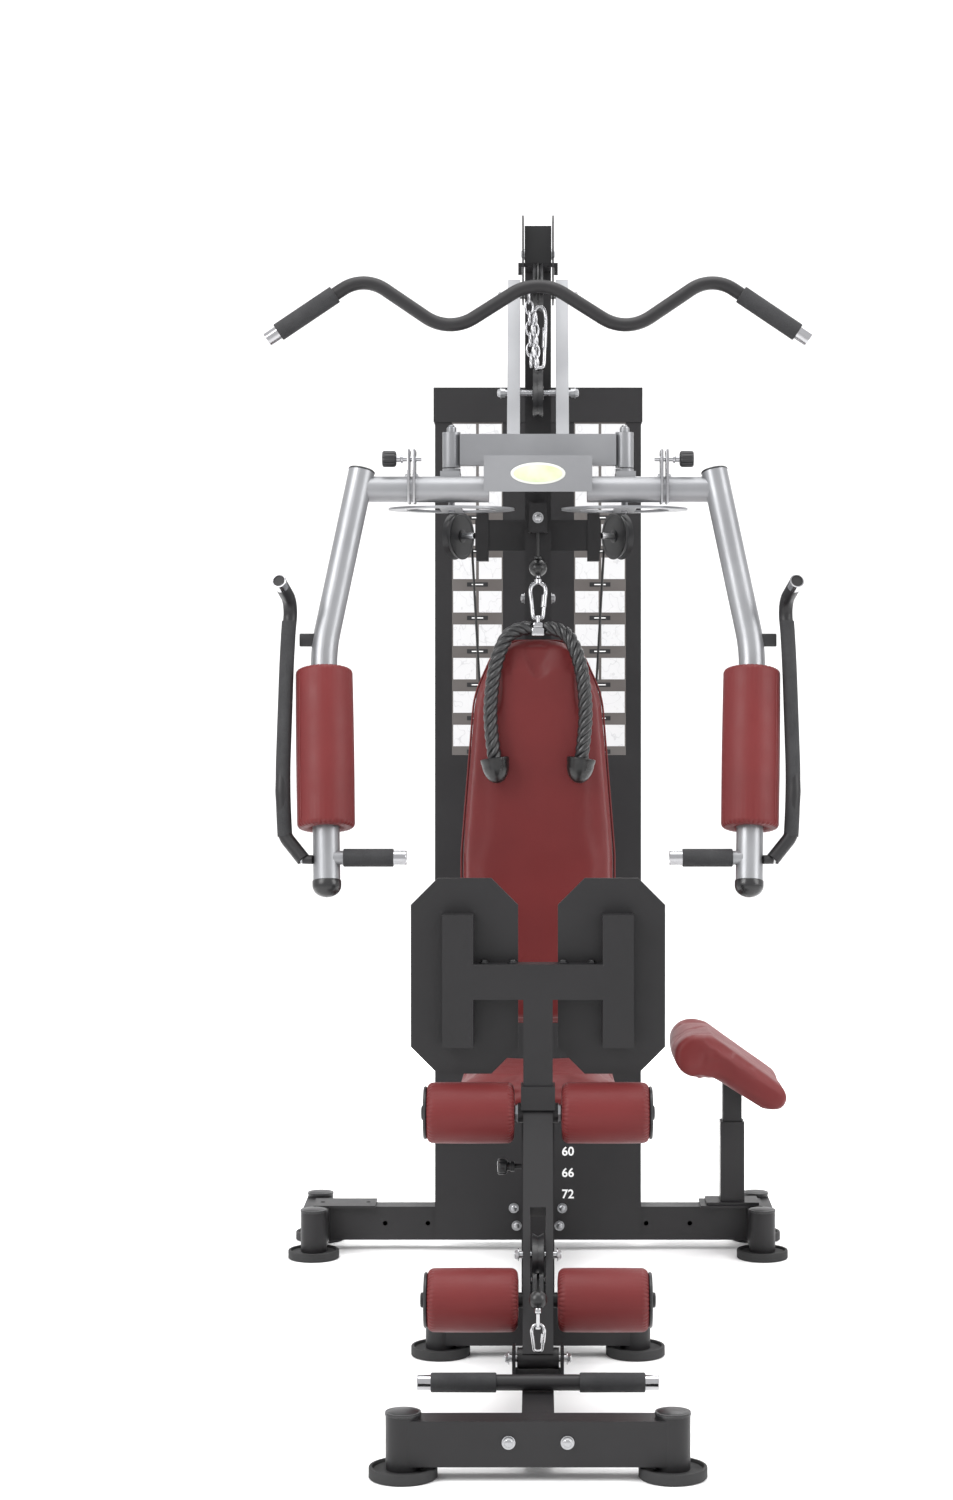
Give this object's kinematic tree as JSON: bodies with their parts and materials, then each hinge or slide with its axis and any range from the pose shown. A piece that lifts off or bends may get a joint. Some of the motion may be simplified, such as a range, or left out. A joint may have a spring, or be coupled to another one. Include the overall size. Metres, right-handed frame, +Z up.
{
  "type": "multi station home gym",
  "caption": "Single-tower home gym with press and fly arms, high and low pulleys, seat, leg press and roller lever, preacher pad and a shrouded weight stack.",
  "frame": {"origin": "centre of the bounding box on the floor", "axes": "+Z up, user faces -Y, +X is the preacher pad's side"},
  "size_m": [1.04, 1.8649, 2.074],
  "materials": {
    "frame_paint": "satin black powder coat",
    "silver_paint": "silver metallic paint",
    "chrome": "polished chrome",
    "red_vinyl": "matt red vinyl",
    "black_rubber": "matt rubber and foam",
    "black_plastic": "moulded plastic",
    "cast_plate": "painted iron",
    "cable_cover": "plastic coated cable",
    "rope_twist": "twisted black rope"
  },
  "bodies": {
    "frame": {"rear_base": "frame_paint", "mid_stabiliser": "frame_paint", "front_stabiliser": "frame_paint", "floor_tube": "frame_paint", "main_upright": "frame_paint", "top_boom": "frame_paint", "pulley_plates": "frame_paint", "stack_shroud": "frame_paint", "shroud_header": "frame_paint", "backrest_board": "frame_paint", "seat_sleeve": "frame_paint", "bench_sleeve": "frame_paint", "guide_rods": "chrome", "frame_bolts": "chrome", "rope_clip": "chrome", "backrest_pad": "red_vinyl", "foot_discs": "black_rubber", "low_bar": "black_rubber", "rope_ends": "black_rubber", "caps_and_bumpers": "black_plastic", "resting_plates": "cast_plate", "cables": "cable_cover", "stack_cable": "cable_cover", "rope_left": "rope_twist", "rope_right": "rope_twist"},
    "press_arm": {"press_yoke": "silver_paint", "stop_crescents": "silver_paint", "press_axles": "chrome"},
    "press_pulley": {"wheel_press": "black_plastic"},
    "left_fly_arm": {"fly_arm_left": "silver_paint", "arm_pad_left": "red_vinyl", "arm_grips_left": "black_rubber", "outer_handle_left": "frame_paint"},
    "right_fly_arm": {"fly_arm_right": "silver_paint", "arm_pad_right": "red_vinyl", "arm_grips_right": "black_rubber", "outer_handle_right": "frame_paint"},
    "left_fly_pin": {"fly_knob_left": "black_plastic"},
    "right_fly_pin": {"fly_knob_right": "black_plastic"},
    "lat_pulley": {"wheel_lat": "black_plastic"},
    "rear_pulley": {"wheel_rear": "black_plastic"},
    "low_pulley": {"wheel_low": "black_plastic"},
    "left_fly_pulley": {"wheel_fly_left": "black_plastic"},
    "right_fly_pulley": {"wheel_fly_right": "black_plastic"},
    "lever_pulley": {"wheel_lever": "black_plastic"},
    "lifted_stack": {"lifted_plates": "cast_plate", "selector_stem": "chrome"},
    "stack_pin": {"selector_pin": "black_plastic"},
    "seat": {"seat_pad": "red_vinyl", "seat_post": "frame_paint"},
    "seat_pin": {"seat_knob": "black_plastic"},
    "leg_press": {"leg_lever": "frame_paint", "foot_plates": "frame_paint", "lever_hardware": "chrome"},
    "knee_rollers": {"upper_rollers": "red_vinyl"},
    "ankle_rollers": {"lower_rollers": "red_vinyl"},
    "preacher_pad": {"bench_post": "frame_paint", "bench_pad": "red_vinyl"},
    "lat_pull_bar": {"lat_bar": "frame_paint", "lat_chain": "chrome"}
  },
  "joints": [
    {"name": "press_swing", "type": "hinge", "parent": "frame", "child": "press_arm", "pos_m": [0, 0.2545, 1.95], "axis": [-1, 0, 0], "range_deg": [0, 25]},
    {"name": "left_fly_swing", "type": "hinge", "parent": "press_arm", "child": "left_fly_arm", "pos_m": [-0.162, 0.0895, 1.6], "axis": [0, 0, 1], "range_deg": [0, 45]},
    {"name": "right_fly_swing", "type": "hinge", "parent": "press_arm", "child": "right_fly_arm", "pos_m": [0.162, 0.0895, 1.6], "axis": [0, 0, -1], "range_deg": [0, 45]},
    {"name": "left_pin_pull", "type": "slide", "parent": "left_fly_arm", "child": "left_fly_pin", "axis": [-1, 0, 0], "range_m": [0, 0.008], "stiffness_N_per_m": 600},
    {"name": "right_pin_pull", "type": "slide", "parent": "right_fly_arm", "child": "right_fly_pin", "axis": [1, 0, 0], "range_m": [0, 0.008], "stiffness_N_per_m": 600},
    {"name": "press_pulley_spin", "type": "hinge", "parent": "press_arm", "child": "press_pulley", "pos_m": [0, 0.1595, 1.754], "axis": [1, 0, 0], "continuous": true},
    {"name": "lat_pulley_spin", "type": "hinge", "parent": "frame", "child": "lat_pulley", "pos_m": [0, 0.0645, 1.941], "axis": [1, 0, 0], "continuous": true},
    {"name": "rear_pulley_spin", "type": "hinge", "parent": "frame", "child": "rear_pulley", "pos_m": [0, 0.78, 1.941], "axis": [1, 0, 0], "continuous": true},
    {"name": "low_pulley_spin", "type": "hinge", "parent": "frame", "child": "low_pulley", "pos_m": [0, -0.1605, 0.142], "axis": [1, 0, 0], "continuous": true},
    {"name": "left_fly_pulley_spin", "type": "hinge", "parent": "frame", "child": "left_fly_pulley", "pos_m": [-0.156, 0.3335, 1.489], "axis": [0.866, -0.5, 0], "continuous": true},
    {"name": "right_fly_pulley_spin", "type": "hinge", "parent": "frame", "child": "right_fly_pulley", "pos_m": [0.156, 0.3335, 1.489], "axis": [0.866, 0.5, 0], "continuous": true},
    {"name": "lever_pulley_spin", "type": "hinge", "parent": "leg_press", "child": "lever_pulley", "pos_m": [0, -0.52429, 0.26538], "axis": [1, 0, 0], "continuous": true},
    {"name": "stack_lift", "type": "slide", "parent": "frame", "child": "lifted_stack", "axis": [0, 0, 1], "range_m": [0, 0.6], "deforming": ["stack_cable"]},
    {"name": "stack_pin_pull", "type": "slide", "parent": "lifted_stack", "child": "stack_pin", "axis": [0, -1, 0], "range_m": [0, 0.06]},
    {"name": "seat_lift", "type": "slide", "parent": "frame", "child": "seat", "axis": [0, 0, 1], "range_m": [0, 0.08]},
    {"name": "seat_pin_pull", "type": "slide", "parent": "frame", "child": "seat_pin", "axis": [-1, 0, 0], "range_m": [0, 0.01], "stiffness_N_per_m": 600},
    {"name": "leg_press_swing", "type": "hinge", "parent": "frame", "child": "leg_press", "pos_m": [0, -0.6205, 0.118], "axis": [1, 0, 0], "range_deg": [0, 25]},
    {"name": "knee_roller_spin", "type": "hinge", "parent": "leg_press", "child": "knee_rollers", "pos_m": [0, -0.3855, 0.478], "axis": [1, 0, 0], "continuous": true},
    {"name": "ankle_roller_spin", "type": "hinge", "parent": "leg_press", "child": "ankle_rollers", "pos_m": [0, -0.56697, 0.2], "axis": [1, 0, 0], "continuous": true},
    {"name": "preacher_lift", "type": "slide", "parent": "frame", "child": "preacher_pad", "axis": [0, 0, 1], "range_m": [0, 0.08]},
    {"name": "lat_bar_swing", "type": "hinge", "parent": "frame", "child": "lat_pull_bar", "pos_m": [0, -0.0015, 1.99], "axis": [-1, 0, 0], "range_deg": [0, 20]}
  ]
}
